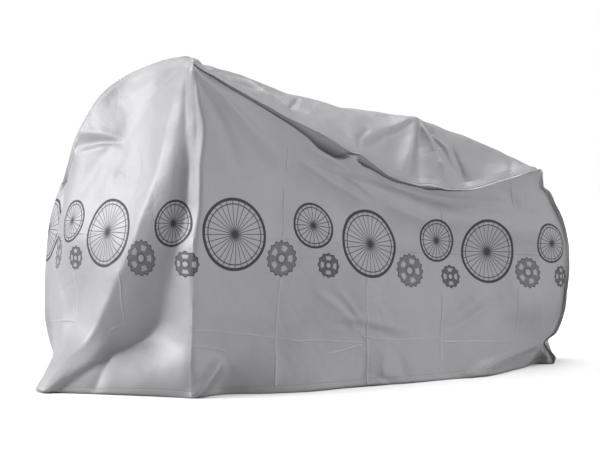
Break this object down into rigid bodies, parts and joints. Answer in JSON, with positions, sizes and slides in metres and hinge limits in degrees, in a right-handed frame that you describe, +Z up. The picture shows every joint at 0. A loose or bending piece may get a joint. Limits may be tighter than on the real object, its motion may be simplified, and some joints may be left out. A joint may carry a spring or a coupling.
{
  "type": "bicycle cover",
  "caption": "Silver film bicycle cover hanging in folds over handlebars and saddle, open below, two welded panels with a printed wheel band.",
  "frame": {"origin": "under the top of the cover, over the middle of the handlebars, 0.99 m above the floor that the hem reaches", "axes": "+X along the bicycle towards its rear wheel, +Z up, -Y the side that faces the viewer"},
  "size_m": [1.9313, 0.8257, 1.0427],
  "materials": {
    "film": "satin silver film",
    "weld": "satin welded edge"
  },
  "bodies": {
    "root": {"near_panel": "film", "far_panel": "film", "top_weld": "weld", "front_weld": "weld", "rear_weld": "weld"}
  },
  "joints": []
}
